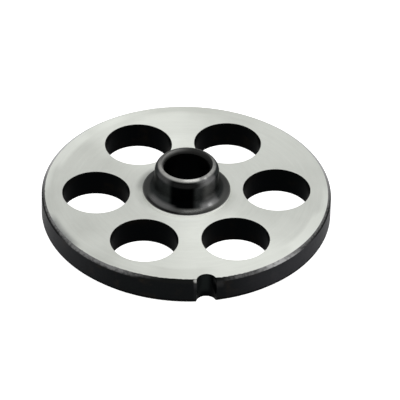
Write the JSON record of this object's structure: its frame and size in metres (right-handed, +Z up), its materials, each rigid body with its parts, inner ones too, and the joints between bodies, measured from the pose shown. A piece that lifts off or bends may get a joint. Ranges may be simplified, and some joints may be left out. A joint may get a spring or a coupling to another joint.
{
  "type": "meat grinder plate",
  "caption": "Thick ground steel disc with a ring of large feed holes, a raised hub with a through bore, and a half-round keyway in its rim.",
  "frame": {"origin": "on the bore axis, in the flat underside", "axes": "+Z up the bore axis towards the hub, -Y through the keyway in the rim"},
  "size_m": [0.0984, 0.0983, 0.0211],
  "materials": {
    "plate_steel": "ground bright on the flat faces, blackened on the hub, the rim and inside the holes, worn bright at the hub's lip"
  },
  "bodies": {
    "root": {"grinder_plate": "plate_steel"}
  },
  "joints": []
}
